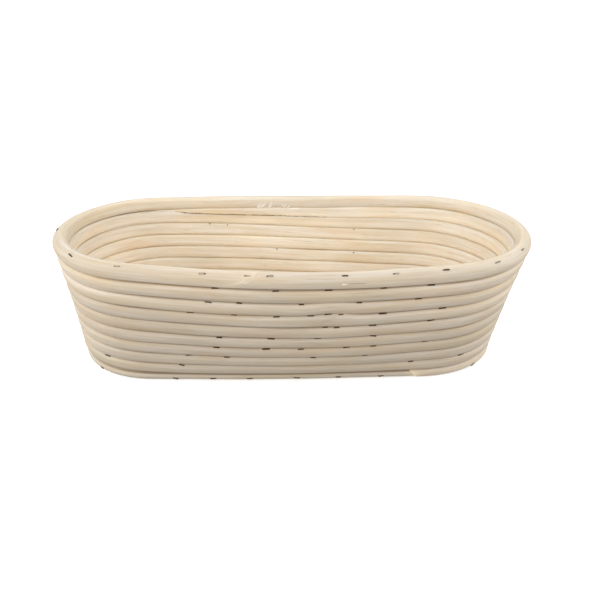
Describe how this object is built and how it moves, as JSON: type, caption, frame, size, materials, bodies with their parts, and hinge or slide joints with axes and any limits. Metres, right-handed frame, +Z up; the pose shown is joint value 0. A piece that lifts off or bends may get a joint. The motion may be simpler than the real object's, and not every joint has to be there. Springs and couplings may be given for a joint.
{
  "type": "coiled cane bowl",
  "caption": "Long oval bowl of round peeled cane, wound in a coil from a flat base up a flaring wall and closed by a level rim hoop, for shaping and proving bread dough.",
  "frame": {"origin": "middle of the bowl's length and width over the rim, on the surface that it stands on", "axes": "+X along the bowl's length, +Z up, and the splices in the canes on the -Y side"},
  "size_m": [0.2797, 0.14, 0.0787],
  "materials": {
    "base_cane": "matt peeled cane, greyed",
    "lower_wall_cane": "matt peeled cane",
    "upper_wall_cane": "matt peeled cane",
    "rim_cane": "matt peeled cane, pale"
  },
  "bodies": {
    "root": {"centre_cane": "base_cane", "base_cane": "base_cane", "lower_wall_cane": "lower_wall_cane", "upper_wall_cane": "upper_wall_cane", "rim_cane": "rim_cane"}
  },
  "joints": []
}
